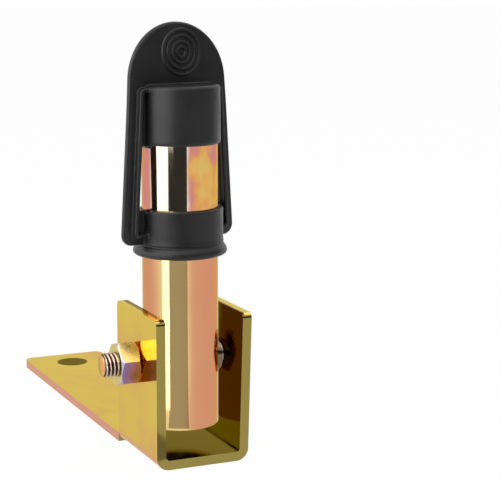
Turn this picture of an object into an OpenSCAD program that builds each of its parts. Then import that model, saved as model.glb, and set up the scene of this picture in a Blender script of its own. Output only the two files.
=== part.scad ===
// Folding spigot bracket with a rubber weather cap
// Millimetres. X lies along the pivot bolt, +Y runs towards the end of the
// foot, Z is up. The origin is on the underside, below the tube.

/* [Bracket] */
// Sheet thickness
sheet_t = 3; // [2:0.5:4]
// Clear width between the walls, at the floor
channel_gap = 24.8; // [24.8:0.1:30]
// Walls in front of the tube's axis
wall_front = 18.5; // [15:0.5:25]
// Walls behind the tube's axis
wall_back = 16.5; // [15:0.5:25]
// Height of the walls
wall_h = 47.5; // [44:0.5:60]
// Radius of the walls' top corners
wall_corner_r = 2; // [1:0.5:5]
// Outside radius of the two bends
bend_r = 4; // [4:0.5:6]
// Outward lean of the right wall, in degrees
wall_lean = 1.5; // [0:0.5:2]
// End of the foot, from the tube's axis
foot_end = 124.5; // [90:0.5:160]
// Radius of the foot's corners
foot_corner_r = 3; // [1:0.5:8]
// Middle of the fixing hole, from the tube's axis
hole_y = 112; // [80:0.5:150]
// Radius of the fixing hole
hole_r = 5.75; // [3:0.05:7]

/* [Tube] */
// Tube radius
tube_r = 12; // [12:0.1:12]
// Tube wall
tube_wall = 2; // [1.5:0.25:3]
// Height of the tube's lower end
tube_z0 = 9.7; // [8:0.1:11]
// Length of the tube
tube_len = 105; // [100:0.5:110]

/* [Pivot] */
// Height of the pivot's axis
pivot_z = 30.5; // [28:0.5:32]
// Pivot bolt radius
bolt_r = 4; // [4:0.1:4]
// Pivot bolt length under the head
bolt_len = 43; // [43:1:50]
// Play round the bolt
bolt_play = 0.06; // [0.02:0.01:0.1]
// Sleeve radius
sleeve_r = 5; // [5:0.25:6]
// Width across the flats of the head and nut
hex_af = 13; // [13:0.5:13]
// Height of the bolt's head
head_h = 5.2; // [5:0.1:6]
// Height of the nut
nut_h = 6.5; // [5:0.1:6.8]
// Turn of the nut, in degrees
nut_turn = 14.5; // [0:0.5:60]

/* [Contact] */
// Depth of the insulator below the tube's end
insulator_drop = 2; // [1:0.5:4]
// Height of the insulator
insulator_h = 14; // [10:1:20]
// Contact stud radius
stud_r = 2.5; // [2:0.25:3]
// Contact stud's head radius
stud_head_r = 4.5; // [4:0.25:6]
// Contact stud's head height
stud_head_h = 1.5; // [1:0.1:3]
// Length of the stud below the insulator
stud_tail = 7; // [6:0.5:10]
// Corner radius of the contact nut
contact_nut_r = 4.62; // [4.2:0.01:5]
// Height of the contact nut
contact_nut_h = 4; // [3:0.1:5]
// Thickness of the ring terminal
terminal_t = 0.8; // [0.5:0.1:1]
// Width of the terminal's tail
terminal_w = 3; // [2:0.5:4]
// Reach of the terminal's tail from the stud's axis
terminal_reach = 7.8; // [7:0.1:9]
// Length of the terminal's tail, downwards
terminal_drop = 7.2; // [5:0.1:10]

/* [Cap] */
// Turn of the cap on the tube, in degrees
cap_turn = 14; // [-90:1:90]
// Play between the cap and the tube
cap_play = 0.08; // [0.02:0.01:0.1]
// Lower end of the cap's bead
bead_z0 = 64.3; // [60:0.1:70]
// Radius over the bead
bead_r = 14.85; // [14.35:0.05:16]
// Radius of the bead's round edge
bead_round = 2; // [1:0.1:2.5]
// Top of the collar
collar_z1 = 79.3; // [76:0.1:84]
// Collar radius
collar_r = 13.6; // [13.3:0.1:14.5]
// Lower edge of the cup
cup_z0 = 99.2; // [94:0.1:104]
// Cup radius
cup_r = 12.8; // [12.8:0.1:14]
// Thickness of the cup's top
cup_top_t = 2.6; // [1.5:0.1:4]
// Round edge of the cup's top
cup_round = 1.2; // [0.5:0.1:2]
// Thickness of the side plate and tab
plate_t = 1.9; // [1.5:0.1:3]
// Front face of the plate, behind the tube's axis
plate_y0 = 0.05; // [0:0.05:1]
// Lower edge of the plate
plate_z0 = 68.5; // [64:0.1:72]
// Half width of the plate at its foot
plate_half = 21.3; // [19:0.1:24]
// Radius of the plate's lower corners
plate_corner_r = 3.5; // [2:0.5:6]
// Radius of the tab
tab_r = 18.3; // [17:0.1:22]
// Centre of the tab's arc
tab_z = 118.4; // [117.7:0.1:122]
// Upper edge of the raised rim
rim_z1 = 116.9; // [112:0.1:117.4]
// Lower edge of the raised rim
rim_z0 = 70.9; // [70:0.1:74]
// Half width of the raised rim at its top
rim_half_top = 15.65; // [15:0.05:16.5]
// Half width of the raised rim at its foot
rim_half_low = 18.2; // [17.5:0.05:19]
// Radius of the raised rim's corners
rim_corner_r = 1.8; // [1.2:0.1:3]
// Width of the raised rim
rim_w = 0.9; // [0.7:0.05:1.1]
// Height of the raised rim
rim_h = 2.05; // [0.5:0.05:3]
// Centre of the grip rings
rings_z = 127.4; // [124:0.1:130]
// Height of the grip rings
ring_h = 0.5; // [0.3:0.1:1]
// Half width of each grip ring
ring_half = 0.4; // [0.2:0.05:0.6]

/* [Hidden] */
$fn = 96;
e = 1;
far = 30;
face_gap = 0.3;
head_gap = 0.1;
hex_cut = 0.6;
hex_cut_in = 1;
tip_cut = 0.7;
flare_h = 1.8;
flare_out = 0.35;
ring_radii = [1.65, 3.35, 5.2, 7];
wall_x = channel_gap / 2;
side_x = wall_x + sheet_t;
bend_x = side_x - bend_r;
bend_in = bend_r - sheet_t;
bend_steps = 12;
lean_out = tan(wall_lean);
tube_z1 = tube_z0 + tube_len;
bore_r = tube_r - tube_wall;
sleeve_x0 = -wall_x + face_gap;
sleeve_x1 = wall_x + lean_out * (pivot_z - sleeve_r - bend_r) - face_gap;
hex_r = hex_af / 2 / cos(30);
head_x = side_x + lean_out * (pivot_z + hex_r - bend_r) + head_gap;
bolt_x0 = head_x - bolt_len;
nut_x = -side_x - face_gap;
ins_z1 = tube_z1 - insulator_drop;
ins_z0 = ins_z1 - insulator_h;
cap_bore = tube_r + cap_play;
cup_in_z = tube_z1 + face_gap;
cup_z1 = cup_in_z + cup_top_t;
bead_z1 = bead_z0 + 2 * bead_round;

// Points along an arc, in X and Z
function arc(cx, cz, r, from, to) =
    [for (i = [0:bend_steps])
        let (a = from + (to - from) * i / bend_steps)
            [cx + r * cos(a), cz + r * sin(a)]];

// The top of the leaning wall, at a distance r from its bend's centre
function lean_top(r) =
    [bend_x + r * cos(wall_lean) + (wall_h - bend_r) * sin(wall_lean),
        bend_r - r * sin(wall_lean) + (wall_h - bend_r) * cos(wall_lean)];

// Cross-section of the channel
module channel_profile() {
    polygon(concat(
        arc(-bend_x, bend_r, bend_r, 180, 270),
        arc(bend_x, bend_r, bend_r, 270, 360 - wall_lean),
        [lean_top(bend_r), lean_top(bend_in)],
        arc(bend_x, bend_r, bend_in, 360 - wall_lean, 270),
        arc(-bend_x, bend_r, bend_in, 270, 180),
        [[-wall_x, wall_h], [-side_x, wall_h]]));
}

// What is taken off the walls' top corners
module corner_cut() {
    r = wall_corner_r;
    for (s = [-1, 1])
        translate([-side_x - e, s < 0 ? -wall_front : wall_back, wall_h])
            difference() {
                translate([0, s < 0 ? -e : -r, -r])
                    cube([2 * side_x + 4 * e, r + e, r + e]);
                translate([-e, -s * r, -r])
                    rotate([0, 90, 0])
                        cylinder(h = 2 * side_x + 6 * e, r = r);
            }
}

module bracket() {
    r = foot_corner_r;
    color([0.85, 0.76, 0.41])
        difference() {
            union() {
                translate([0, wall_back, 0])
                    rotate([90, 0, 0])
                        linear_extrude(height = wall_front + wall_back)
                            channel_profile();
                translate([-side_x, wall_back, 0])
                    cube([2 * side_x, foot_end - wall_back - r, sheet_t]);
                translate([r - side_x, wall_back, 0])
                    cube([2 * (side_x - r), foot_end - wall_back, sheet_t]);
                for (s = [-1, 1])
                    translate([s * (side_x - r), foot_end - r, 0])
                        cylinder(h = sheet_t, r = r);
            }
            corner_cut();
            translate([0, hole_y, -e])
                cylinder(h = sheet_t + 2 * e, r = hole_r);
            translate([-side_x - e, 0, pivot_z])
                rotate([0, 90, 0])
                    cylinder(h = 2 * side_x + 4 * e, r = bolt_r + bolt_play);
        }
}

module spigot_tube() {
    color([0.85, 0.74, 0.48])
        difference() {
            translate([0, 0, tube_z0])
                cylinder(h = tube_len, r = tube_r);
            translate([0, 0, tube_z0 - e])
                cylinder(h = tube_len + 2 * e, r = bore_r);
            translate([-tube_r - e, 0, pivot_z])
                rotate([0, 90, 0])
                    cylinder(h = 2 * tube_r + 2 * e, r = sleeve_r);
        }
}

module pivot_sleeve() {
    color([0.8, 0.72, 0.55])
        translate([sleeve_x0, 0, pivot_z])
            rotate([0, 90, 0])
                difference() {
                    cylinder(h = sleeve_x1 - sleeve_x0, r = sleeve_r);
                    translate([0, 0, -e])
                        cylinder(h = sleeve_x1 - sleeve_x0 + 2 * e,
                            r = bolt_r + bolt_play);
                }
}

// A hexagon with its corners taken off on the outer face
module hex_body(height) {
    intersection() {
        cylinder(h = height, r = hex_r, $fn = 6);
        union() {
            cylinder(h = height - hex_cut, r = hex_r + e);
            translate([0, 0, height - hex_cut])
                cylinder(h = hex_cut, r1 = hex_r, r2 = hex_r - hex_cut_in);
        }
    }
}

module pivot_bolt() {
    color([0.82, 0.72, 0.45])
        translate([0, 0, pivot_z]) {
            translate([head_x, 0, 0])
                rotate([0, 90, 0])
                    hex_body(head_h);
            translate([bolt_x0 + tip_cut, 0, 0])
                rotate([0, 90, 0])
                    cylinder(h = bolt_len - tip_cut, r = bolt_r);
            translate([bolt_x0, 0, 0])
                rotate([0, 90, 0])
                    cylinder(h = tip_cut, r1 = bolt_r - tip_cut, r2 = bolt_r);
        }
}

module pivot_nut() {
    color([0.84, 0.7, 0.42])
        translate([nut_x, 0, pivot_z])
            rotate([nut_turn, 0, 0])
                rotate([0, -90, 0])
                    difference() {
                        hex_body(nut_h);
                        translate([0, 0, -e])
                            cylinder(h = nut_h + 2 * e,
                                r = bolt_r + bolt_play);
                    }
}

module contact_insulator() {
    color([0.12, 0.12, 0.12])
        difference() {
            translate([0, 0, ins_z0])
                cylinder(h = insulator_h, r = bore_r);
            translate([0, 0, ins_z0 - e])
                cylinder(h = insulator_h + 2 * e, r = stud_r);
        }
}

module contact_stud() {
    color([0.85, 0.68, 0.35]) {
        translate([0, 0, ins_z1])
            cylinder(h = stud_head_h, r = stud_head_r);
        translate([0, 0, ins_z0 - stud_tail])
            cylinder(h = insulator_h + stud_tail, r = stud_r);
    }
}

module ring_terminal() {
    color([0.8, 0.8, 0.78])
        difference() {
            union() {
                translate([0, 0, ins_z0 - terminal_t])
                    cylinder(h = terminal_t, r = stud_head_r);
                translate([0, -terminal_w / 2, ins_z0 - terminal_t])
                    cube([terminal_reach, terminal_w, terminal_t]);
                translate([terminal_reach - terminal_t, -terminal_w / 2,
                    ins_z0 - terminal_t - terminal_drop])
                    cube([terminal_t, terminal_w, terminal_drop]);
            }
            translate([0, 0, ins_z0 - terminal_t - e])
                cylinder(h = terminal_t + 2 * e, r = stud_r);
        }
}

module contact_nut() {
    color([0.85, 0.68, 0.35])
        translate([0, 0, ins_z0 - terminal_t - contact_nut_h])
            difference() {
                cylinder(h = contact_nut_h, r = contact_nut_r, $fn = 6);
                translate([0, 0, -e])
                    cylinder(h = contact_nut_h + 2 * e, r = stud_r);
            }
}

module cap_collar() {
    color([0.13, 0.13, 0.13])
        difference() {
            union() {
                translate([0, 0, bead_z0 + bead_round])
                    cylinder(h = collar_z1 - bead_z0 - bead_round,
                        r = collar_r);
                translate([0, 0, bead_z0])
                    cylinder(h = bead_round, r = bead_r - bead_round);
                translate([0, 0, bead_z0 + bead_round])
                    rotate_extrude()
                        translate([bead_r - bead_round, 0])
                            circle(r = bead_round);
                translate([0, 0, bead_z1 - 2 * flare_out])
                    cylinder(h = flare_h, r1 = collar_r + flare_out,
                        r2 = collar_r);
            }
            translate([0, 0, bead_z0 - e])
                cylinder(h = collar_z1 - bead_z0 + 2 * e, r = cap_bore);
        }
}

module cap_cup() {
    color([0.13, 0.13, 0.13])
        difference() {
            union() {
                translate([0, 0, cup_z0])
                    cylinder(h = cup_z1 - cup_z0 - cup_round, r = cup_r);
                translate([0, 0, cup_z0])
                    cylinder(h = cup_z1 - cup_z0, r = cup_r - cup_round);
                translate([0, 0, cup_z1 - cup_round])
                    rotate_extrude()
                        translate([cup_r - cup_round, 0])
                            circle(r = cup_round);
            }
            translate([0, 0, cup_z0 - e])
                cylinder(h = cup_in_z - cup_z0 + e, r = cap_bore);
        }
}

// Outline of the side plate and tab, drawn in X and Z
module plate_outline() {
    hull() {
        translate([0, tab_z])
            circle(r = tab_r);
        for (s = [-1, 1])
            translate([s * (plate_half - plate_corner_r),
                plate_z0 + plate_corner_r])
                circle(r = plate_corner_r);
    }
}

// Outline of the raised rim, inset from its outer edge
module rim_outline(inset) {
    r = rim_corner_r;
    hull()
        for (s = [-1, 1]) {
            translate([s * (rim_half_top - r), rim_z1 - r])
                circle(r = r - inset);
            translate([s * (rim_half_low - r), rim_z0 + r])
                circle(r = r - inset);
        }
}

// Lays an X-Z outline flat against the plate's front face
module on_plate(y, thickness) {
    rotate([90, 0, 0])
        translate([0, 0, -y - thickness])
            linear_extrude(height = thickness)
                children();
}

// The room that the collar, cup and tube take
module cap_core() {
    translate([0, 0, bead_z0 - e])
        cylinder(h = collar_z1 - bead_z0 + e, r = collar_r);
    translate([0, 0, bead_z0])
        cylinder(h = 2 * bead_round + flare_h, r = bead_r);
    translate([0, 0, collar_z1 - e])
        cylinder(h = cup_z0 - collar_z1 + 2 * e, r = cap_bore);
    translate([0, 0, cup_z0])
        cylinder(h = cup_z1 - cup_z0, r = cup_r);
}

module cap_straps() {
    color([0.13, 0.13, 0.13])
        rotate([0, 0, cap_turn])
            difference() {
                on_plate(plate_y0, plate_t)
                    difference() {
                        intersection() {
                            plate_outline();
                            translate([-far, plate_z0 - e])
                                square([2 * far, cup_z1 - plate_z0 + e]);
                        }
                        intersection() {
                            rim_outline(rim_w);
                            translate([-far, collar_z1])
                                square([2 * far, cup_z0 - collar_z1]);
                        }
                    }
                cap_core();
            }
}

module cap_rim() {
    color([0.13, 0.13, 0.13])
        rotate([0, 0, cap_turn])
            difference() {
                on_plate(plate_y0 - rim_h, rim_h)
                    difference() {
                        rim_outline(0);
                        rim_outline(rim_w);
                    }
                cap_core();
            }
}

module cap_tab() {
    color([0.13, 0.13, 0.13])
        rotate([0, 0, cap_turn])
            on_plate(plate_y0, plate_t)
                intersection() {
                    plate_outline();
                    translate([-far, cup_z1])
                        square([2 * far, far]);
                }
}

module grip_rings() {
    color([0.13, 0.13, 0.13])
        rotate([0, 0, cap_turn])
            translate([0, plate_y0, rings_z])
                rotate([90, 0, 0])
                    for (r = ring_radii)
                        difference() {
                            cylinder(h = ring_h, r = r + ring_half);
                            translate([0, 0, -e])
                                cylinder(h = ring_h + 2 * e,
                                    r = r - ring_half);
                        }
}

bracket();
spigot_tube();
pivot_sleeve();
pivot_bolt();
pivot_nut();
contact_insulator();
contact_stud();
contact_nut();
ring_terminal();
cap_collar();
cap_cup();
cap_straps();
cap_rim();
cap_tab();
grip_rings();
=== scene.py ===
# Folding spigot bracket with a rubber weather cap: detailed pieces, finishes, camera and studio.
import itertools
import math
import bmesh
import bpy
import numpy as np
from mathutils import Matrix, Vector


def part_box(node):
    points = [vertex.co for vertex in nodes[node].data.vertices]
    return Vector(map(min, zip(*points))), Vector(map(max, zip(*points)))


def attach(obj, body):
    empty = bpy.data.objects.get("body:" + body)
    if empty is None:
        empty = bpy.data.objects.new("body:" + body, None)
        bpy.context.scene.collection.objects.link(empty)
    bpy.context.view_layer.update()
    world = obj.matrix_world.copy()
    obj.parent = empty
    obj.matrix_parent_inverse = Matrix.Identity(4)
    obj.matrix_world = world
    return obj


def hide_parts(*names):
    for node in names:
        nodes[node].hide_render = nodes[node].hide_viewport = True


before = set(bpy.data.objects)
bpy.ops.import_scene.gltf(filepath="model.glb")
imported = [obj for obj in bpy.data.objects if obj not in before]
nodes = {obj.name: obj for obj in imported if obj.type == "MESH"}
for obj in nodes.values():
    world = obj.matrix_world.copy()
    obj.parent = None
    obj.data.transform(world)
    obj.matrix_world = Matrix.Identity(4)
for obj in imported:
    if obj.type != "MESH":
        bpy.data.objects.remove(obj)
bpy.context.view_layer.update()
mm = 0.001
print("frame loaded:", len(nodes), "nodes")

edgeLook = {
    "weldReach": 0.002,  # mm
    "flatAngle": 0.3,  # degrees, joints flatter than this are dissolved
    "cornerAngle": 35,  # degrees, corners sharper than this are rounded
    "segments": 3,
    "normalWeight": 50,
    "doubles": 0.0005,  # mm
}


def makePiece(name, points, faces, smooth=True):
    mesh = bpy.data.meshes.new(name)
    mesh.from_pydata([tuple(p) for p in points], [], [tuple(f) for f in faces])
    mesh.validate()
    mesh.update()
    mesh.polygons.foreach_set("use_smooth", [smooth] * len(mesh.polygons))
    piece = bpy.data.objects.new(name, mesh)
    bpy.context.scene.collection.objects.link(piece)
    return piece


def placePiece(piece, body, *stoodFor, slotName):
    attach(piece, body)
    if stoodFor:
        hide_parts(*stoodFor)


def middle(node):
    low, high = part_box(node)
    return (low + high) / 2


# Faces between rows of points that each run once round the piece.
def joinRows(rows, steps, closed=False, start=0):
    faces = []
    for k in range(rows if closed else rows - 1):
        here = start + k * steps
        above = start + (k + 1) % rows * steps
        for i in range(steps):
            j = (i + 1) % steps
            faces.append((here + i, here + j, above + j, above + i))
    return faces


def aroundX(x, radius, angle, centre):
    return Vector((x, centre.y + radius * math.cos(angle), centre.z + radius * math.sin(angle)))


# Joins doubled points and turns every face outwards.
def fixFacing(piece):
    b = bmesh.new()
    b.from_mesh(piece.data)
    bmesh.ops.remove_doubles(b, verts=b.verts, dist=edgeLook["doubles"] * mm)
    bmesh.ops.recalc_face_normals(b, faces=b.faces)
    b.to_mesh(piece.data)
    b.free()


def weldPoints(piece, reach):
    weld = piece.modifiers.new("weld", "WELD")
    weld.merge_threshold = reach * mm


def roundEdges(piece, width, angle=edgeLook["cornerAngle"], segments=edgeLook["segments"]):
    weldPoints(piece, edgeLook["weldReach"])
    flat = piece.modifiers.new("flat", "DECIMATE")
    flat.decimate_type = "DISSOLVE"
    flat.angle_limit = math.radians(edgeLook["flatAngle"])
    bevel = piece.modifiers.new("edges", "BEVEL")
    bevel.width = width * mm
    bevel.segments = segments
    bevel.limit_method = "ANGLE"
    bevel.angle_limit = math.radians(angle)
    settle = piece.modifiers.new("settle", "WEIGHTED_NORMAL")
    settle.weight = edgeLook["normalWeight"]
    piece.data.polygons.foreach_set("use_smooth", [True] * len(piece.data.polygons))


capLook = {
    "turn": 14.0,  # degrees, as the cap sits on the tube
    "step": 0.28,  # mm between the mesh's points
    "boreRadius": 12.04,
    "boreBlend": 0.3,
    "backStart": -2.4,  # the back half begins here, front to back
    "backBlend": 0.8,
    "collarRadius": 13.6,
    "collarRound": 0.5,
    "collarSpare": 2.0,  # how far the wall runs into the bore before it is cut
    "collarLift": 1.0,  # the wall starts this far above the bead's lower edge
    "collarFlare": 0.3,
    "flareReach": 2.5,
    "collarDip": 0.6,  # how much lower the collar's back half ends
    "beadRadius": 14.85,
    "beadRound": 2.0,
    "beadBelow": 1.3,
    "beadAbove": 2.2,
    "beadBlend": 0.5,
    "creaseHeight": 3.85,  # above the bead's lower edge
    "creaseRadius": 0.4,
    "creaseOut": 0.25,
    "creaseBlend": 0.15,
    "cupRadius": 12.9,
    "cupTaper": 0.2,
    "cupRound": 1.2,
    "cupSpare": 9.0,
    "cupTop": 2.6,
    "skirtDrop": 1.0,  # how much lower the cup's back half reaches
    "plateFront": 0.05,
    "plateBack": 1.95,
    "plateHalf": 21.3,
    "plateCorner": 3.5,
    "plateEdge": 0.8,
    "tabRadius": 18.3,
    "tabSteps": 40,
    "cornerSteps": 16,
    "tabLean": 1.1,  # how far the tab's end leans back
    "leanStart": 105.0,
    "leanReach": 30.0,
    "lipHalfTop": 15.65,
    "lipHalfLow": 18.2,
    "lipCorner": 1.8,
    "lipWidth": 1.35,
    "lipHeight": 2.05,
    "lipRound": 0.4,
    "lipBlend": 0.5,
    "windowInset": 1.6,
    "windowBlend": 0.25,
    "fillet": 0.45,
    "margin": 1.0,
}
netLook = {
    "passes": 2,  # how often the points are drawn onto the surface
    "probe": 0.01,  # mm, to measure the slope
    "leastSlope": 0.25,
}


# The union of two shapes, with a fillet of about k between them.
def softMin(a, b, k):
    h = np.maximum(k - np.abs(a - b), 0) / k
    return np.minimum(a, b) - h * h * k / 4


def softMax(a, b, k):
    return -softMin(-a, -b, k)


def roundedCorner(qu, qv, r):
    return np.hypot(np.maximum(qu, 0), np.maximum(qv, 0)) + np.minimum(np.maximum(qu, qv), 0) - r


def roundedBox(u, v, halfU, halfV, r):
    return roundedCorner(np.abs(u) - halfU + r, np.abs(v) - halfV + r, r)


# How far each point lies outside a closed outline, negative inside it.
def outlineDistance(outline, x, z):
    near = np.full(x.shape, np.inf)
    inside = np.zeros(x.shape, bool)
    for (ax, az), (bx, bz) in zip(outline, outline[1:] + outline[:1]):
        ex, ez = bx - ax, bz - az
        t = np.clip(((x - ax) * ex + (z - az) * ez) / (ex * ex + ez * ez), 0, 1)
        near = np.minimum(near, np.hypot(x - ax - ex * t, z - az - ez * t))
        if az != bz:
            crossing = (az > z) != (bz > z)
            inside ^= crossing & (x < ax + (z - az) * ex / ez)
    return np.where(inside, -near, near)


# The round tab, its straight sides and the two rounded feet of the straps.
def plateOutline(tabCentre, footLevel):
    c = capLook
    r, big = c["plateCorner"], c["tabRadius"]
    cx, cz = c["plateHalf"] - r, footLevel + r
    reach = math.hypot(cx, cz - tabCentre)
    turn = math.atan2(cz - tabCentre, cx) + math.acos((big - r) / reach)
    half = []
    for a in np.linspace(math.pi / 2, turn, c["tabSteps"]):
        half.append((big * math.cos(a), tabCentre + big * math.sin(a)))
    for a in np.linspace(turn, -math.pi / 2, c["cornerSteps"]):
        half.append((cx + r * math.cos(a), cz + r * math.sin(a)))
    return half + [(-x, z) for x, z in reversed(half[1:])]


def leanBack(z):
    c = capLook
    return c["tabLean"] * (np.maximum(z - c["leanStart"], 0) / c["leanReach"]) ** 2


def backHalf(y):
    return np.clip((y - capLook["backStart"]) / capLook["backBlend"], 0, 1)


def collarShape(r, y, z, low, high):
    c = capLook
    top = high - c["collarDip"] * backHalf(y)
    bottom = low + c["collarLift"]
    crease = low + c["creaseHeight"]
    flare = c["collarFlare"] * np.clip(1 - (z - crease) / c["flareReach"], 0, 1) ** 2
    half = (c["collarRadius"] - c["boreRadius"] + c["collarSpare"]) / 2
    across = r - c["boreRadius"] + c["collarSpare"] - half - flare
    collar = roundedBox(across, z - (bottom + top) / 2, half, (top - bottom) / 2, c["collarRound"])
    rise = z - low - c["beadBelow"]
    rise = rise * c["beadRound"] / np.where(rise < 0, c["beadBelow"], c["beadAbove"])
    bead = np.hypot(r - c["beadRadius"] + c["beadRound"], rise) - c["beadRound"]
    groove = np.hypot(r - c["collarRadius"] - c["creaseOut"], z - crease) - c["creaseRadius"]
    return softMax(softMin(collar, bead, c["beadBlend"]), -groove, c["creaseBlend"])


def cupShape(r, y, z, low, high):
    c = capLook
    low = low - c["skirtDrop"] * backHalf(y)
    radius = c["cupRadius"] - c["cupTaper"] * np.clip((z - low) / (high - low), 0, 1)
    spare = c["cupSpare"]
    return roundedBox(r - radius + spare, z - (low + high) / 2, spare, (high - low) / 2, c["cupRound"])


def lipOutline(x, z):
    c = capLook
    low, high = (corner.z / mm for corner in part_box("cap_rim"))
    low, high = low + c["lipCorner"], high - c["lipCorner"]
    halfHigh, halfLow = c["lipHalfTop"] - c["lipCorner"], c["lipHalfLow"] - c["lipCorner"]
    corners = [(-halfHigh, high), (halfHigh, high), (halfLow, low), (-halfLow, low)]
    return outlineDistance(corners, x, z) - c["lipCorner"]


def plateShape(x, y, z, opening):
    c = capLook
    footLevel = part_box("cap_straps")[0].z / mm
    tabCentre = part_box("cap_tab")[1].z / mm - c["tabRadius"]
    outline = outlineDistance(plateOutline(tabCentre, footLevel), x, z)
    lip = lipOutline(x, z)
    window = np.maximum(lip + c["windowInset"], opening)
    edge = c["plateEdge"]
    depth = y - leanBack(z)
    centreY = (c["plateFront"] + c["plateBack"]) / 2
    halfY = (c["plateBack"] - c["plateFront"]) / 2
    plate = roundedCorner(outline + edge, np.abs(depth - centreY) - halfY + edge, edge)
    crest = c["plateFront"] - c["lipHeight"]
    ridge = roundedBox(lip + c["lipWidth"] / 2, depth - (crest + centreY) / 2,
                       c["lipWidth"] / 2, (centreY - crest) / 2, c["lipRound"])
    return softMax(softMin(plate, ridge, c["lipBlend"]), -window, c["windowBlend"])


# How far each point lies outside the whole cap in mm, negative in the rubber.
def capField(x, y, z):
    c = capLook
    beadLow, collarTop = (corner.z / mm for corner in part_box("cap_collar"))
    cupLow, cupHigh = (corner.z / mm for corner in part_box("cap_cup"))
    r = np.hypot(x, y)
    opening = np.abs(z - (collarTop + cupLow) / 2) - (cupLow - collarTop) / 2
    plate = plateShape(x, y, z, opening)
    collar = collarShape(r, y, z, beadLow, collarTop)
    cup = cupShape(r, y, z, cupLow, cupHigh)
    whole = softMin(softMin(plate, collar, c["fillet"]), cup, c["fillet"])
    bore = np.maximum(r - c["boreRadius"], z - (cupHigh - c["cupTop"]))
    return softMax(whole, -bore, c["boreBlend"])


def countInside(inside, cells, corners):
    count = np.zeros(cells, np.int8)
    for i, j, k in corners:
        count += inside[i:i + cells[0], j:j + cells[1], k:k + cells[2]]
    return count


# One point for each cell that the surface passes through.
def netPoints(value, cell, corners, low, step):
    total = np.zeros((len(cell), 3))
    hits = np.zeros(len(cell))
    for a, b in itertools.combinations(corners, 2):
        if sum(abs(p - q) for p, q in zip(a, b)) != 1:
            continue
        va = value[tuple((cell + a).T)]
        vb = value[tuple((cell + b).T)]
        cross = (va < 0) != (vb < 0)
        t = (va[cross] / (va[cross] - vb[cross]))[:, None]
        total[cross] += np.array(a) + (np.array(b) - a) * t
        hits[cross] += 1
    return np.array(low) + (cell + total / hits[:, None]) * step


# One face for each grid line that leaves or enters the shape along this axis.
def netFaces(inside, index, cells, axis):
    u, v = [i for i in range(3) if i != axis]
    first = np.moveaxis(inside, axis, 0)[:-1]
    second = np.moveaxis(inside, axis, 0)[1:]
    edge = np.argwhere(first != second)
    edge = edge[(edge[:, 1] > 0) & (edge[:, 2] > 0) & (edge[:, 1] < cells[u]) & (edge[:, 2] < cells[v])]
    quad = []
    for du, dv in ((0, 0), (1, 0), (1, 1), (0, 1)):
        at = np.zeros((len(edge), 3), int)
        at[:, axis] = edge[:, 0]
        at[:, u] = edge[:, 1] - du
        at[:, v] = edge[:, 2] - dv
        quad.append(index[tuple(at.T)])
    quad = np.array(quad).T
    solidFirst = first[tuple(edge.T)]
    flip = solidFirst if axis != 1 else ~solidFirst
    quad[~flip] = quad[~flip][:, ::-1]
    return quad


# Moves the points along the slope until they lie on the surface.
def drawOnto(field, points, reach):
    n = netLook
    here = field(*points.T)
    slope = np.array([(field(*(points + d).T) - here) / n["probe"] for d in np.eye(3) * n["probe"]]).T
    move = here[:, None] * slope / np.maximum((slope ** 2).sum(1), n["leastSlope"])[:, None]
    return points - np.clip(move, -reach, reach)


# The mesh where the field passes through zero.
def surfaceNet(field, low, high, step):
    axes = [np.arange(a, b + step, step) for a, b in zip(low, high)]
    value = field(*np.meshgrid(*axes, indexing="ij"))
    inside = value < 0
    corners = list(itertools.product((0, 1), repeat=3))
    cells = [n - 1 for n in value.shape]
    count = countInside(inside, cells, corners)
    mixed = (count > 0) & (count < len(corners))
    index = np.full(mixed.shape, -1)
    index[mixed] = np.arange(mixed.sum())
    points = netPoints(value, np.argwhere(mixed), corners, low, step)
    faces = np.concatenate([netFaces(inside, index, cells, axis) for axis in range(3)])
    for _ in range(netLook["passes"]):
        points = drawOnto(field, points, step / 2)
    return points, faces


def makeCap():
    c = capLook
    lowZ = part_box("cap_collar")[0].z / mm - c["margin"]
    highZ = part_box("cap_tab")[1].z / mm + c["margin"]
    reach = c["plateHalf"] + c["margin"]
    deep = c["beadRadius"] + c["margin"]
    points, faces = surfaceNet(capField, (-reach, -deep, lowZ), (reach, deep, highZ), c["step"])
    turn = Matrix.Rotation(math.radians(c["turn"]), 3, "Z")
    points = points @ np.array(turn).T * mm
    piece = makePiece("weatherCap", points.tolist(), faces.tolist())
    placePiece(piece, "cap", "cap_collar", "cap_cup", "cap_straps", "cap_rim", "cap_tab",
               slotName="cup_rubber")
    return piece


ringsLook = {
    "radii": [1.65, 3.35, 5.2, 7.0],
    "height": 0.5,
    "halfWidth": 0.62,
    "plump": 1.25,
    "sink": 0.12,  # how deep the rings' ground lies under the tab's face
    "shift": 1.3,  # to the right of the tab's middle
    "border": 1.01,
    "radialStep": 0.12,
    "steps": 96,
    "weldReach": 0.0005,
}


def makeGripRings():
    g = ringsLook
    centreZ = middle("grip_rings").z / mm
    radii = np.arange(0, g["radii"][-1] + g["border"], g["radialStep"])
    height = np.zeros(len(radii))
    for ring in g["radii"]:
        swell = np.cos(np.clip((radii - ring) / g["halfWidth"], -1, 1) * math.pi / 2)
        height = np.maximum(height, np.clip(g["plump"] * swell, 0, 1))
    turn = Matrix.Rotation(math.radians(capLook["turn"]), 4, "Z")
    points = []
    for r, h in zip(radii, height):
        for i in range(g["steps"]):
            a = math.tau * i / g["steps"]
            z = r * math.sin(a) + centreZ
            ground = capLook["plateFront"] + leanBack(z) + g["sink"]
            depth = ground - h * (g["height"] + g["sink"])
            points.append(turn @ Vector(((r * math.cos(a) + g["shift"]) * mm, depth * mm, z * mm)))
    piece = makePiece("gripRings", points, joinRows(len(radii), g["steps"]))
    weldPoints(piece, g["weldReach"])
    placePiece(piece, "cap", "grip_rings", slotName="ring_rubber")
    return piece


cap = makeCap()
gripRings = makeGripRings()
print("cap made:", len(cap.data.polygons), "faces")

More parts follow.
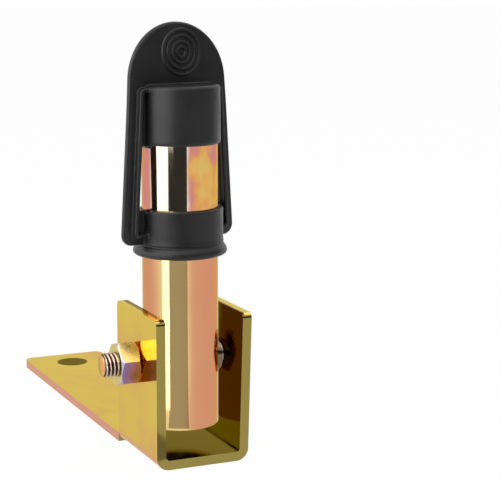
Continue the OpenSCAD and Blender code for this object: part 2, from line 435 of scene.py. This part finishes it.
tubeLook = {
    "wall": 2.0,
    "rim": 0.35,
    "steps": 240,
    "lengthSteps": 40,
    "boreRadius": 5.0,
    "boreSteps": 96,
    "boreHalf": 20,
    "sharpAngle": 40,
}


def tubeProfile(low, high, outer):
    inner, rim = outer - tubeLook["wall"], tubeLook["rim"]
    profile = [(outer, z) for z in np.linspace(low + rim, high - rim, tubeLook["lengthSteps"])]
    arc = [math.pi / 6 * k for k in (1, 2, 3)]
    for a in arc:
        profile.append((outer - rim + rim * math.cos(a), high - rim + rim * math.sin(a)))
    profile += [(inner + rim, high), (inner, high - rim), (inner, low + rim), (inner + rim, low)]
    for a in reversed(arc):
        profile.append((outer - rim + rim * math.cos(a), low + rim - rim * math.sin(a)))
    return profile


def makeCutter(centre):
    t = tubeLook
    steps = t["boreSteps"]
    points = [aroundX(x * mm, t["boreRadius"] * mm, math.tau * i / steps, centre)
              for x in (-t["boreHalf"], t["boreHalf"]) for i in range(steps)]
    ends = [tuple(range(steps)), tuple(reversed(range(steps, 2 * steps)))]
    cutter = makePiece("boreCutter", points, joinRows(2, steps) + ends)
    fixFacing(cutter)
    return cutter


def makeTube():
    low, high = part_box("spigot_tube")
    steps = tubeLook["steps"]
    profile = tubeProfile(low.z / mm, high.z / mm, high.x / mm)
    points = []
    for r, z in profile:
        for i in range(steps):
            a = math.tau * i / steps
            points.append((r * math.cos(a) * mm, r * math.sin(a) * mm, z * mm))
    piece = makePiece("spigotTube", points, joinRows(len(profile), steps, True))
    fixFacing(piece)
    cutter = makeCutter(Vector((0, 0, middle("pivot_sleeve").z)))
    cut = piece.modifiers.new("bore", "BOOLEAN")
    cut.object = cutter
    cut.solver = "EXACT"
    bpy.context.view_layer.update()
    shaped = bpy.data.meshes.new_from_object(piece.evaluated_get(bpy.context.evaluated_depsgraph_get()))
    piece.modifiers.clear()
    piece.data = shaped
    bpy.data.objects.remove(cutter)
    shaped.polygons.foreach_set("use_smooth", [True] * len(shaped.polygons))
    shaped.set_sharp_from_angle(angle=math.radians(tubeLook["sharpAngle"]))
    placePiece(piece, "mast", "spigot_tube", slotName="tube_zinc")
    return piece


hexLook = {
    "flats": 13.0,
    "faceShare": 0.95,  # of the flats, the round face inside the corners' chamfer
    "chamferSlope": 1.73,
    "steps": 120,
    "edge": 0.12,
    "edgeAngle": 12,
    "edgeSegments": 2,
}


# A chamfered hexagon as four rows of radius, angle and height.
def hexRows(height):
    x = hexLook
    half = x["flats"] / 2
    face = half * x["faceShare"]
    rows = [[], [], [], []]
    for i in range(x["steps"]):
        a = math.tau * i / x["steps"]
        r = half / math.cos(a % (math.pi / 3) - math.pi / 6)
        drop = (r - face) / x["chamferSlope"]
        rows[0].append((face, a, 0))
        rows[1].append((r, a, drop))
        rows[2].append((r, a, height - drop))
        rows[3].append((face, a, height))
    return rows


def roundHex(piece):
    roundEdges(piece, hexLook["edge"], hexLook["edgeAngle"], hexLook["edgeSegments"])


nutLook = {
    "boreRadius": 3.4,
    "boreChamfer": 0.55,
    "turn": -15.5,  # degrees, as the nut is tightened
}


def boreRow(radius, level):
    return [(radius, math.tau * i / hexLook["steps"], level) for i in range(hexLook["steps"])]


def makeNut():
    low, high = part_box("pivot_nut")
    height = (high.x - low.x) / mm
    bore, mouth = nutLook["boreRadius"], nutLook["boreChamfer"]
    rows = [boreRow(bore, mouth), boreRow(bore + mouth, 0)]
    rows += hexRows(height)
    rows += [boreRow(bore + mouth, height), boreRow(bore, height - mouth)]
    turn = math.radians(nutLook["turn"])
    centre = middle("pivot_nut")
    points = [aroundX(high.x - h * mm, r * mm, a + turn, centre) for row in rows for r, a, h in row]
    piece = makePiece("pivotNut", points, joinRows(len(rows), hexLook["steps"], True))
    fixFacing(piece)
    roundHex(piece)
    placePiece(piece, "nut", "pivot_nut", slotName="nut_zinc")
    return piece


boltLook = {
    "shankRadius": 4.0,
    "rootRadius": 3.4,
    "pitch": 1.25,
    "threadLength": 22.0,
    "flankSlope": 1.35,
    "rootFlat": 0.15,
    "chamfer": 0.7,
    "turnSteps": 96,
    "pitchSteps": 14,
    "headHeight": 5.2,
}


# The thread's surface at a place along and round the shank.
def threadRadius(x, angle, start):
    b = boltLook
    phase = ((x - start) / b["pitch"] - angle / math.tau) % 1.0
    crest = np.clip(b["flankSlope"] * abs(2 * phase - 1) - b["rootFlat"], 0, 1)
    fade = np.clip((start + b["threadLength"] - x) / b["pitch"], 0, 1)
    depth = (b["shankRadius"] - b["rootRadius"]) * (1 - crest) * fade
    lead = b["shankRadius"] - b["chamfer"] + (x - start)
    return min(b["shankRadius"] - depth, lead)


def makeShank(start, end, centre):
    b = boltLook
    steps = b["turnSteps"]
    threadEnd = start + b["threadLength"] + b["pitch"]
    stations = list(np.arange(start, threadEnd, b["pitch"] / b["pitchSteps"])) + [end]
    points = [Vector((start * mm, 0, centre.z))]
    for x in stations:
        for i in range(steps):
            a = math.tau * i / steps
            r = threadRadius(x, a, start) if x < end else b["shankRadius"]
            points.append(aroundX(x * mm, r * mm, a, centre))
    tip = [(0, 1 + (i + 1) % steps, 1 + i) for i in range(steps)]
    piece = makePiece("pivotBolt", points, tip + joinRows(len(stations), steps, start=1))
    fixFacing(piece)
    placePiece(piece, "bolt", "pivot_bolt", slotName="bolt_zinc")
    return piece


def makeHead(start, centre):
    steps = hexLook["steps"]
    rows = hexRows(boltLook["headHeight"])
    points = [aroundX((start + h) * mm, r * mm, a, centre) for row in rows for r, a, h in row]
    last = (len(rows) - 1) * steps
    ends = [tuple(range(last, last + steps)), tuple(reversed(range(steps)))]
    piece = makePiece("pivotBoltHead", points, joinRows(len(rows), steps) + ends)
    fixFacing(piece)
    roundHex(piece)
    placePiece(piece, "bolt", slotName="bolt_zinc")
    return piece


def makeBolt():
    low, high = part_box("pivot_bolt")
    centre = Vector((0, 0, middle("pivot_bolt").z))
    headStart = high.x / mm - boltLook["headHeight"]
    return makeShank(low.x / mm, headStart, centre), makeHead(headStart, centre)


tube = makeTube()
nut = makeNut()
boltShank, boltHead = makeBolt()

# mm, the edge rounding of the parts that keep their own solids
edgeRounds = {
    "bracket": 0.3,
    "pivot_sleeve": 0.3,
    "contact_insulator": 0.4,
    "contact_stud": 0.3,
    "contact_nut": 0.2,
    "ring_terminal": 0.15,
}
for node, width in edgeRounds.items():
    roundEdges(nodes[node], width)
print("tube, nut and bolt made")


def emptyTree(owner):
    owner.use_nodes = True
    owner.node_tree.nodes.clear()
    return owner.node_tree


def newFinish(name):
    material = bpy.data.materials.new(name)
    tree = emptyTree(material)
    output = tree.nodes.new("ShaderNodeOutputMaterial")
    shader = tree.nodes.new("ShaderNodeBsdfPrincipled")
    tree.links.new(shader.outputs["BSDF"], output.inputs["Surface"])
    return material, tree, shader


noiseLook = {
    "seedWay": (1, 0.7, 0.3),  # each seed moves the noise on along this
    "span": (0.3, 0.7),  # where most of a noise's values lie
}


def addNoise(tree, grain, detail, stretch, seed):
    place = tree.nodes.new("ShaderNodeTexCoord")
    mapping = tree.nodes.new("ShaderNodeMapping")
    mapping.inputs["Scale"].default_value = stretch
    mapping.inputs["Location"].default_value = [seed * way for way in noiseLook["seedWay"]]
    noise = tree.nodes.new("ShaderNodeTexNoise")
    noise.inputs["Scale"].default_value = grain
    noise.inputs["Detail"].default_value = detail
    tree.links.new(place.outputs["Object"], mapping.inputs["Vector"])
    tree.links.new(mapping.outputs["Vector"], noise.inputs["Vector"])
    return noise.outputs["Fac"]


def addRamp(tree, fac, stops):
    ramp = tree.nodes.new("ShaderNodeValToRGB")
    ramp.color_ramp.interpolation = "B_SPLINE"
    while len(ramp.color_ramp.elements) < len(stops):
        ramp.color_ramp.elements.new(0.5)
    for element, (at, colour) in zip(ramp.color_ramp.elements, stops):
        element.position = at
        element.color = (*colour, 1)
    tree.links.new(fac, ramp.inputs["Fac"])
    return ramp.outputs["Color"]


def addRange(tree, noise, low, high):
    node = tree.nodes.new("ShaderNodeMapRange")
    node.inputs["From Min"].default_value = noiseLook["span"][0]
    node.inputs["From Max"].default_value = noiseLook["span"][1]
    node.inputs["To Min"].default_value = low
    node.inputs["To Max"].default_value = high
    tree.links.new(noise, node.inputs["Value"])
    return node.outputs["Result"]


def addBump(tree, shader, height, strength, distance):
    bump = tree.nodes.new("ShaderNodeBump")
    bump.inputs["Strength"].default_value = strength
    bump.inputs["Distance"].default_value = distance
    tree.links.new(height, bump.inputs["Height"])
    tree.links.new(bump.outputs["Normal"], shader.inputs["Normal"])


# A colour as seen on screen, 0 to 255, for the shader.
def linear(r, g, b):
    return tuple(((c / 255 + 0.055) / 1.055) ** 2.4 if c > 10 else c / 255 / 12.92 for c in (r, g, b))


def objectSpace(tree):
    place = tree.nodes.new("ShaderNodeTexCoord")
    return place.outputs["Object"], place.outputs["Normal"]


def addVectorMath(tree, operation, vector, other=None):
    node = tree.nodes.new("ShaderNodeVectorMath")
    node.operation = operation
    tree.links.new(vector, node.inputs[0])
    if other is not None:
        node.inputs[1].default_value = other
    return node


def along(tree, vector, direction):
    return addVectorMath(tree, "DOT_PRODUCT", vector, direction).outputs["Value"]


# mm along a direction
def inMm(tree, place, direction):
    return along(tree, place, [share / mm for share in direction])


# mm from a line, counted only along the directions that are 1
def fromAxis(tree, place, centre, counted):
    offset = addVectorMath(tree, "SUBTRACT", place, centre).outputs[0]
    flat = addVectorMath(tree, "MULTIPLY", offset, [share / mm for share in counted]).outputs[0]
    return addVectorMath(tree, "LENGTH", flat).outputs["Value"]


def addMath(tree, operation, first, second):
    node = tree.nodes.new("ShaderNodeMath")
    node.operation = operation
    for socket, value in zip(node.inputs, (first, second)):
        if isinstance(value, (int, float)):
            socket.default_value = value
        else:
            tree.links.new(value, socket)
    return node.outputs[0]


def fadeIn(tree, value, low, high):
    node = tree.nodes.new("ShaderNodeMapRange")
    node.interpolation_type = "SMOOTHSTEP"
    node.inputs["From Min"].default_value = low
    node.inputs["From Max"].default_value = high
    tree.links.new(value, node.inputs["Value"])
    return node.outputs["Result"]


def fadeOut(tree, value, low, high):
    return addMath(tree, "SUBTRACT", 1.0, fadeIn(tree, value, low, high))


def facingTo(tree, facing, direction, low, high):
    return fadeIn(tree, along(tree, facing, direction), low, high)


def mixColours(tree, fac, first, second):
    node = tree.nodes.new("ShaderNodeMix")
    node.data_type = "RGBA"
    tree.links.new(fac, node.inputs[0])
    for socket, value in zip((node.inputs[6], node.inputs[7]), (first, second)):
        if isinstance(value, tuple):
            socket.default_value = (*value, 1)
        else:
            tree.links.new(value, socket)
    return node.outputs[2]


# Clouds, patches, wear and pits are noises: grain, detail, stretch and seed.
# A pair of numbers is where something fades in or out, or the least and the most.
zincLook = {
    "gold": linear(219, 193, 103),
    "amber": linear(214, 184, 106),
    "salmon": linear(209, 144, 109),
    "pink": linear(206, 126, 138),
    "edgeTint": (0.88, 0.78, 0.45, 1),
    "pitBump": (0.06, 0.00003),
    "smallRough": (0.14, 0.26),  # nut, bolt and sleeve
}


def addGrain(tree, shader, look):
    wear = addNoise(tree, *look["wear"])
    tree.links.new(addRange(tree, wear, *look["rough"]), shader.inputs["Roughness"])
    addBump(tree, shader, addNoise(tree, *look["pits"]), *look["pitBump"])


def finishZinc(tree, shader, colour, look):
    tree.links.new(colour, shader.inputs["Base Color"])
    shader.inputs["Metallic"].default_value = 1.0
    shader.inputs["Specular Tint"].default_value = zincLook["edgeTint"]
    addGrain(tree, shader, look)


bracketLook = {
    "clouds": (34, 3, (1, 1, 1), 1.0),
    "colours": [(0.3, linear(212, 190, 108)), (0.45, zincLook["gold"]),
                (0.6, zincLook["amber"]), (0.75, linear(212, 160, 126))],
    "cutEdge": linear(212, 150, 158),  # the sheared edge along the foot
    "cutEdgeSide": (0.3, 0.8),
    "cutEdgeTop": (2.6, 4.6),
    "cutEdgeFrom": (10, 11),
    # painted shade: edges facing the front get a darker olive, standing in for their reflection of the
    # dark front
    "frontEdgeShade": linear(150, 134, 72),
    "frontEdgeShadeSide": (0.6, 0.9),
    "inner": linear(58, 36, 20),  # painted shade: darker brown between the walls, where shade falls
    "innerShadeHalf": (12.7, 13.2),
    "innerShadeEnd": (16, 19),
    "wallLean": 0.0262,  # the walls part by this share of their height
    # painted shade: a darker olive on the wall inside the hole
    "holeWallShade": linear(112, 98, 40),
    "holeMiddle": (0, 0.112, 0),
    "holeShadeFade": (5.85, 6.05),
    "wear": (220, 4, (1, 1, 1), 4.0),
    "rough": (0.07, 0.13),
    "pits": (500, 2, (1, 1, 1), 6.0),
    "pitBump": zincLook["pitBump"],
}


def bracketZinc():
    k = bracketLook
    material, tree, shader = newFinish("bracketZinc")
    place, facing = objectSpace(tree)
    base = addRamp(tree, addNoise(tree, *k["clouds"]), k["colours"])
    height = inMm(tree, place, (0, 0, 1))
    fromMiddle = addMath(tree, "ABSOLUTE", inMm(tree, place, (1, 0, 0)), 0)
    edge = addMath(tree, "MULTIPLY", fadeOut(tree, height, *k["cutEdgeTop"]),
                   facingTo(tree, facing, (-1, 0, 0), *k["cutEdgeSide"]))
    edge = addMath(tree, "MULTIPLY", edge, fadeIn(tree, fromMiddle, *k["cutEdgeFrom"]))
    base = mixColours(tree, edge, base, k["cutEdge"])
    # painted shade: a darker brown inside the channel, between the walls
    upright = addMath(tree, "SUBTRACT", fromMiddle, inMm(tree, place, (0, 0, k["wallLean"])))
    inner = addMath(tree, "MULTIPLY", fadeOut(tree, upright, *k["innerShadeHalf"]),
                    fadeOut(tree, inMm(tree, place, (0, 1, 0)), *k["innerShadeEnd"]))
    base = mixColours(tree, inner, base, k["inner"])
    # painted shade: a darker olive on the faces turned to the front
    base = mixColours(tree, facingTo(tree, facing, (0, -1, 0), *k["frontEdgeShadeSide"]), base, k["frontEdgeShade"])
    # painted shade: darker olive inside the hole in the foot
    hole = fromAxis(tree, place, k["holeMiddle"], (1, 1, 0))
    base = mixColours(tree, fadeIn(tree, hole, *k["holeShadeFade"]), k["holeWallShade"], base)
    finishZinc(tree, shader, base, k)
    return material


tubeFinishLook = {
    "bandWay": (0.4545, -0.208, 0),  # the bands follow each other this way round the tube
    "bandStart": 0.42,
    "clouds": (60, 2, (1, 1, 0.3), 2.0),
    "cloudShare": 0.16,  # how far the clouds push the bands about
    "lower": [(0.08, zincLook["salmon"]), (0.17, zincLook["salmon"]), (0.27, (0.86, 0.62, 0.26)),
              (0.57, (0.86, 0.62, 0.26)), (0.66, zincLook["salmon"]), (0.9, zincLook["salmon"])],
    "patches": (150, 2, (1, 1, 0.6), 8.0),
    "patchShare": 0.1,
    "upper": [(0.36, zincLook["pink"]), (0.46, zincLook["salmon"]),
              (0.54, linear(226, 164, 84)), (0.66, zincLook["amber"])],
    "leftEnd": (0.2, 0.3),
    "leftPatch": (0.35, 0.6),
    "shellGold": (0.84, 0.75, 0.58),
    "shellIn": (0.17, 0.24),
    "shellOut": (0.64, 0.72),
    "upperStart": (76, 82),  # mm above the floor
    "wear": (220, 4, (1, 1, 0.35), 5.0),
    "rough": (0.045, 0.09),
    "pits": (500, 2, (1, 1, 0.35), 7.0),
    "pitBump": zincLook["pitBump"],
}


def tubeZinc():
    t, z = tubeFinishLook, zincLook
    material, tree, shader = newFinish("tubeZinc")
    place, facing = objectSpace(tree)
    cloud = addNoise(tree, *t["clouds"])
    patch = addNoise(tree, *t["patches"])
    across = addMath(tree, "ADD", along(tree, facing, t["bandWay"]), t["bandStart"])
    across = addMath(tree, "ADD", across, addMath(tree, "MULTIPLY", cloud, t["cloudShare"]))
    lower = addRamp(tree, across, t["lower"])
    spread = addMath(tree, "ADD", across, addMath(tree, "MULTIPLY", patch, t["patchShare"]))
    leftTint = mixColours(tree, fadeIn(tree, patch, *t["leftPatch"]), z["salmon"], z["pink"])
    upper = addRamp(tree, patch, t["upper"])
    upper = mixColours(tree, fadeOut(tree, spread, *t["leftEnd"]), upper, leftTint)
    shell = addMath(tree, "MULTIPLY", fadeOut(tree, spread, *t["shellOut"]),
                    fadeIn(tree, spread, *t["shellIn"]))
    upper = mixColours(tree, shell, upper, t["shellGold"])
    height = inMm(tree, place, (0, 0, 1))
    base = mixColours(tree, fadeIn(tree, height, *t["upperStart"]), lower, upper)
    finishZinc(tree, shader, base, t)
    return material


nutFinishLook = {
    "patches": (170, 2, (1, 1, 1), 5.0),
    "patchShare": 0.8,
    "side": [(0.1, linear(172, 158, 204)), (0.35, linear(206, 140, 170)),
             (0.55, linear(206, 134, 112)), (0.8, linear(178, 112, 50))],  # from the free end to the wall
    "top": [(0.4, linear(244, 198, 82)), (0.6, linear(253, 238, 130))],
    "topSide": (0.5, 0.8),
    "face": linear(204, 196, 150),
    "faceSide": (0.75, 0.95),
    "wear": (220, 4, (1, 1, 1), 8.0),
    "rough": zincLook["smallRough"],
    "pits": (500, 2, (1, 1, 1), 10.0),
    "pitBump": zincLook["pitBump"],
}


def nutZinc():
    n = nutFinishLook
    material, tree, shader = newFinish("nutZinc")
    place, facing = objectSpace(tree)
    patch = addNoise(tree, *n["patches"])
    low, high = (corner.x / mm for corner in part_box("pivot_nut"))
    height = high - low
    inward = addMath(tree, "ADD", inMm(tree, place, (1 / height, 0, 0)), -low / height)
    wander = addMath(tree, "MULTIPLY", addMath(tree, "ADD", patch, -0.5), n["patchShare"])
    side = addRamp(tree, addMath(tree, "ADD", inward, wander), n["side"])
    top = addRamp(tree, patch, n["top"])
    base = mixColours(tree, facingTo(tree, facing, (0, 0, 1), *n["topSide"]), side, top)
    base = mixColours(tree, facingTo(tree, facing, (-1, 0, 0), *n["faceSide"]), base, n["face"])
    finishZinc(tree, shader, base, n)
    return material


boltFinishLook = {
    "patches": (300, 3, (1, 1, 1), 4.0),
    "crest": [(0.35, linear(196, 176, 172)), (0.65, linear(216, 192, 176))],
    # painted shade: the thread's roots are darkened
    "rootShade": linear(60, 46, 38),
    "rootShadeFade": (3.5, 3.95),  # mm from the axis; the painted shade in the thread's roots fades out here
    "headSide": (0.6, 0.9),
    "tip": linear(226, 172, 118),
    "tipSide": (0.75, 0.95),
    "wear": (220, 4, (1, 1, 1), 7.0),
    "rough": zincLook["smallRough"],
    "pits": (500, 2, (1, 1, 1), 9.0),
    "pitBump": zincLook["pitBump"],
}


def boltZinc():
    b = boltFinishLook
    material, tree, shader = newFinish("boltZinc")
    place, facing = objectSpace(tree)
    crest = addRamp(tree, addNoise(tree, *b["patches"]), b["crest"])
    size = fromAxis(tree, place, (0, 0, middle("pivot_bolt").z), (0, 1, 1))
    # painted shade: dark thread roots under lighter crests
    base = mixColours(tree, fadeIn(tree, size, *b["rootShadeFade"]), b["rootShade"], crest)
    base = mixColours(tree, facingTo(tree, facing, (1, 0, 0), *b["headSide"]), base, crest)
    base = mixColours(tree, facingTo(tree, facing, (-1, 0, 0), *b["tipSide"]), base, b["tip"])
    finishZinc(tree, shader, base, b)
    return material


sleeveLook = {
    "patches": (200, 3, (1, 1, 1), 3.0),
    "colours": [(0.35, linear(92, 80, 66)), (0.65, linear(128, 112, 92))],
    "wear": (220, 4, (1, 1, 1), 6.0),
    "rough": zincLook["smallRough"],
    "pits": (500, 2, (1, 1, 1), 8.0),
    "pitBump": zincLook["pitBump"],
}


def sleeveZinc():
    s = sleeveLook
    material, tree, shader = newFinish("sleeveZinc")
    base = addRamp(tree, addNoise(tree, *s["patches"]), s["colours"])
    finishZinc(tree, shader, base, s)
    return material


rubberLook = {
    "clouds": (60, 4, (1, 1, 1), 0),
    "colours": [(0.35, linear(24, 24, 24)), (0.7, linear(33, 33, 33))],
    "wear": (140, 5, (1, 1, 1), 2),
    "rough": (0.36, 0.48),
    "pits": (2200, 2, (1, 1, 1), 4),
    "pitBump": (0.15, 0.00005),
    "metal": 0.0,
    "shine": 0.36,
}
brassLook = {
    "clouds": (400, 3, (1, 1, 1), 0),
    "colours": [(0.3, linear(196, 158, 84)), (0.7, linear(226, 190, 112))],
    "wear": (700, 4, (1, 1, 4), 1),
    "rough": (0.2, 0.32),
    "pits": (1800, 2, (1, 1, 1), 2),
    "pitBump": (0.1, 0.00003),
    "metal": 1.0,
    "shine": 0.5,
}
tinLook = {
    "clouds": (400, 3, (1, 1, 1), 2),
    "colours": [(0.3, linear(190, 188, 184)), (0.7, linear(222, 221, 218))],
    "wear": (700, 4, (1, 1, 4), 3),
    "rough": (0.25, 0.37),
    "pits": (1800, 2, (1, 1, 1), 4),
    "pitBump": (0.1, 0.00003),
    "metal": 1.0,
    "shine": 0.5,
}
plasticLook = {
    "clouds": (300, 3, (1, 1, 1), 0),
    "colours": [(0.3, linear(20, 20, 21)), (0.7, linear(30, 30, 31))],
    "wear": (500, 3, (1, 1, 1), 0),
    "rough": (0.35, 0.5),
    "pits": (1500, 2, (1, 1, 1), 0),
    "pitBump": (0.12, 0.00004),
    "metal": 0.0,
    "shine": 0.5,
}


def plainFinish(name, look):
    material, tree, shader = newFinish(name)
    colour = addRamp(tree, addNoise(tree, *look["clouds"]), look["colours"])
    tree.links.new(colour, shader.inputs["Base Color"])
    shader.inputs["Metallic"].default_value = look["metal"]
    shader.inputs["Specular IOR Level"].default_value = look["shine"]
    addGrain(tree, shader, look)
    return material


def paint(piece, material):
    piece.data.materials.clear()
    piece.data.materials.append(material)


rubber = plainFinish("weatherRubber", rubberLook)
brass = plainFinish("contactBrass", brassLook)
boltFinish = boltZinc()
paint(cap, rubber)
paint(gripRings, rubber)
paint(nodes["bracket"], bracketZinc())
paint(tube, tubeZinc())
paint(nodes["pivot_sleeve"], sleeveZinc())
paint(boltShank, boltFinish)
paint(boltHead, boltFinish)
paint(nut, nutZinc())
paint(nodes["contact_insulator"], plainFinish("insulatorPlastic", plasticLook))
paint(nodes["contact_stud"], brass)
paint(nodes["contact_nut"], brass)
paint(nodes["ring_terminal"], plainFinish("tinnedCopper", tinLook))
nodes["bracket"].visible_glossy = False  # keeps the tube's bands clear of the walls
print("finishes made")

cameraLook = {
    "place": (-0.18042, -0.44690, 0.15186),
    "heading": 24.61,  # degrees from +Y towards +X
    "tilt": 10.178,
    "roll": 0.166,
    "lens": 111.6,
    "sensor": 36,
    "reach": (0.01, 20),
}


def makeCamera():
    c = cameraLook
    data = bpy.data.cameras.new("productCamera")
    data.lens = c["lens"]
    data.sensor_width = c["sensor"]
    data.clip_start, data.clip_end = c["reach"]
    camera = bpy.data.objects.new("productCamera", data)
    bpy.context.scene.collection.objects.link(camera)
    turn = (Matrix.Rotation(-math.radians(c["heading"]), 4, "Z")
            @ Matrix.Rotation(math.radians(90 - c["tilt"]), 4, "X")
            @ Matrix.Rotation(math.radians(c["roll"]), 4, "Z"))
    camera.matrix_world = Matrix.Translation(c["place"]) @ turn
    bpy.context.scene.camera = camera


studioLook = {
    "skyDiffuse": 0.5,
    "skySeen": 1.0,
    "floorColour": linear(250, 250, 250),
    "floorGlow": 0.97,
    "floorHalf": 6.0,
    "floorLevel": -0.0002,
    "boxAim": (0, 0, 0.06),
    "cardSteps": 12,
}


# One for rays that show the backdrop, zero for those that light the object.
def seenDirectly(tree):
    path = tree.nodes.new("ShaderNodeLightPath")
    seen = addMath(tree, "MAXIMUM", path.outputs["Is Camera Ray"], path.outputs["Is Glossy Ray"])
    return addMath(tree, "MAXIMUM", seen, path.outputs["Is Transmission Ray"])


def mixShaders(tree, output, fac, first, second):
    mix = tree.nodes.new("ShaderNodeMixShader")
    tree.links.new(fac, mix.inputs["Fac"])
    tree.links.new(first.outputs[0], mix.inputs[1])
    tree.links.new(second.outputs[0], mix.inputs[2])
    tree.links.new(mix.outputs[0], output.inputs["Surface"])


def makeWorld():
    world = bpy.data.worlds.new("studioAir")
    bpy.context.scene.world = world
    tree = emptyTree(world)
    output = tree.nodes.new("ShaderNodeOutputWorld")
    soft = tree.nodes.new("ShaderNodeBackground")
    seen = tree.nodes.new("ShaderNodeBackground")
    for light, strength in ((soft, studioLook["skyDiffuse"]), (seen, studioLook["skySeen"])):
        light.inputs["Color"].default_value = (1, 1, 1, 1)
        light.inputs["Strength"].default_value = strength
    mixShaders(tree, output, seenDirectly(tree), soft, seen)


def makeFloor():
    s = studioLook
    half, level = s["floorHalf"], s["floorLevel"]
    points = [(-half, -half, level), (half, -half, level), (half, half, level), (-half, half, level)]
    floor = makePiece("studioFloor", points, [(0, 1, 2, 3)])
    material = bpy.data.materials.new("studioFloor")
    tree = emptyTree(material)
    output = tree.nodes.new("ShaderNodeOutputMaterial")
    board = tree.nodes.new("ShaderNodeBsdfDiffuse")
    board.inputs["Color"].default_value = (*s["floorColour"], 1)
    glow = tree.nodes.new("ShaderNodeEmission")
    share = addMath(tree, "MULTIPLY", seenDirectly(tree), s["floorGlow"])
    mixShaders(tree, output, share, board, glow)
    paint(floor, material)


# heading from +Y towards +X and rise in degrees, then distance, width, height and power
softboxes = {
    "keyBox": (256.67, 12, 0.8, 0.35, 0.9, 3.0),
    "fillBox": (134.67, 20, 0.9, 0.5, 0.7, 0.7),
    "topBox": (204.67, 75, 0.9, 0.8, 0.6, 2.5),
}


def makeSoftbox(name, heading, rise, distance, width, height, power):
    data = bpy.data.lights.new(name, "AREA")
    data.shape = "RECTANGLE"
    data.size = width
    data.size_y = height
    data.energy = power
    lamp = bpy.data.objects.new(name, data)
    bpy.context.scene.collection.objects.link(lamp)
    a, b = math.radians(heading), math.radians(rise)
    way = Vector((math.sin(a) * math.cos(b), math.cos(a) * math.cos(b), math.sin(b)))
    lamp.location = Vector(studioLook["boxAim"]) + way * distance
    lamp.rotation_mode = "QUATERNION"
    lamp.rotation_quaternion = (-way).to_track_quat("-Z", "Y")
    lamp.visible_glossy = False


# Curved cards that only reflections see: from and to, in degrees to the right of the camera's side,
# then distance and height of the first and the second edge, and the brightness.
reflectionCards = {
    "keyCardNear": (-48.5, -27.5, (0.07, -0.01), (0.07, 0.037), 2.7),
    "keyCardLow": (-52, -30, (0.24, -0.01), (0.24, 0.035), 2.7),
    "keyCardHigh": (-70, -33, (0.24, 0.035), (0.24, 0.075), 1.7),
    "keyCardTop": (-72, -16, (0.24, 0.076), (0.24, 0.6), 3.4),
    "leftCard": (-112, -76, (0.6, 0.05), (0.6, 0.9), 2.3),
    "frontCard": (-31, 24, (0.42, 0.0), (0.42, 0.3), 0.03),
    "rightCard": (24, 118, (0.35, 0.078), (0.35, 0.26), 0.06),
    "frontMat": (-30, 24, (0.03, 0.0002), (0.41, 0.0002), 0.42),
    "overheadCard": (20, 160, (0.08, 0.5), (0.36, 0.5), 1.7),
}


def cardFinish(name, brightness):
    material = bpy.data.materials.new(name)
    tree = emptyTree(material)
    output = tree.nodes.new("ShaderNodeOutputMaterial")
    glow = tree.nodes.new("ShaderNodeEmission")
    glow.inputs["Strength"].default_value = brightness
    tree.links.new(glow.outputs[0], output.inputs["Surface"])
    return material


def makeCard(name, fromAngle, toAngle, firstEdge, secondEdge, brightness):
    steps = studioLook["cardSteps"]
    start = cameraLook["heading"] + 180
    points = []
    for i in range(steps + 1):
        a = math.radians(start - fromAngle - (toAngle - fromAngle) * i / steps)
        for distance, height in (firstEdge, secondEdge):
            points.append((distance * math.sin(a), distance * math.cos(a), height))
    faces = [(2 * i, 2 * i + 2, 2 * i + 3, 2 * i + 1) for i in range(steps)]
    card = makePiece(name, points, faces, False)
    paint(card, cardFinish(name, brightness))
    card.visible_camera = False
    card.visible_diffuse = False
    card.visible_transmission = False
    card.visible_shadow = False


makeCamera()
makeWorld()
makeFloor()
for name, box in softboxes.items():
    makeSoftbox(name, *box)
for name, card in reflectionCards.items():
    makeCard(name, *card)
bpy.context.scene.view_settings.view_transform = "Standard"
print("studio made")
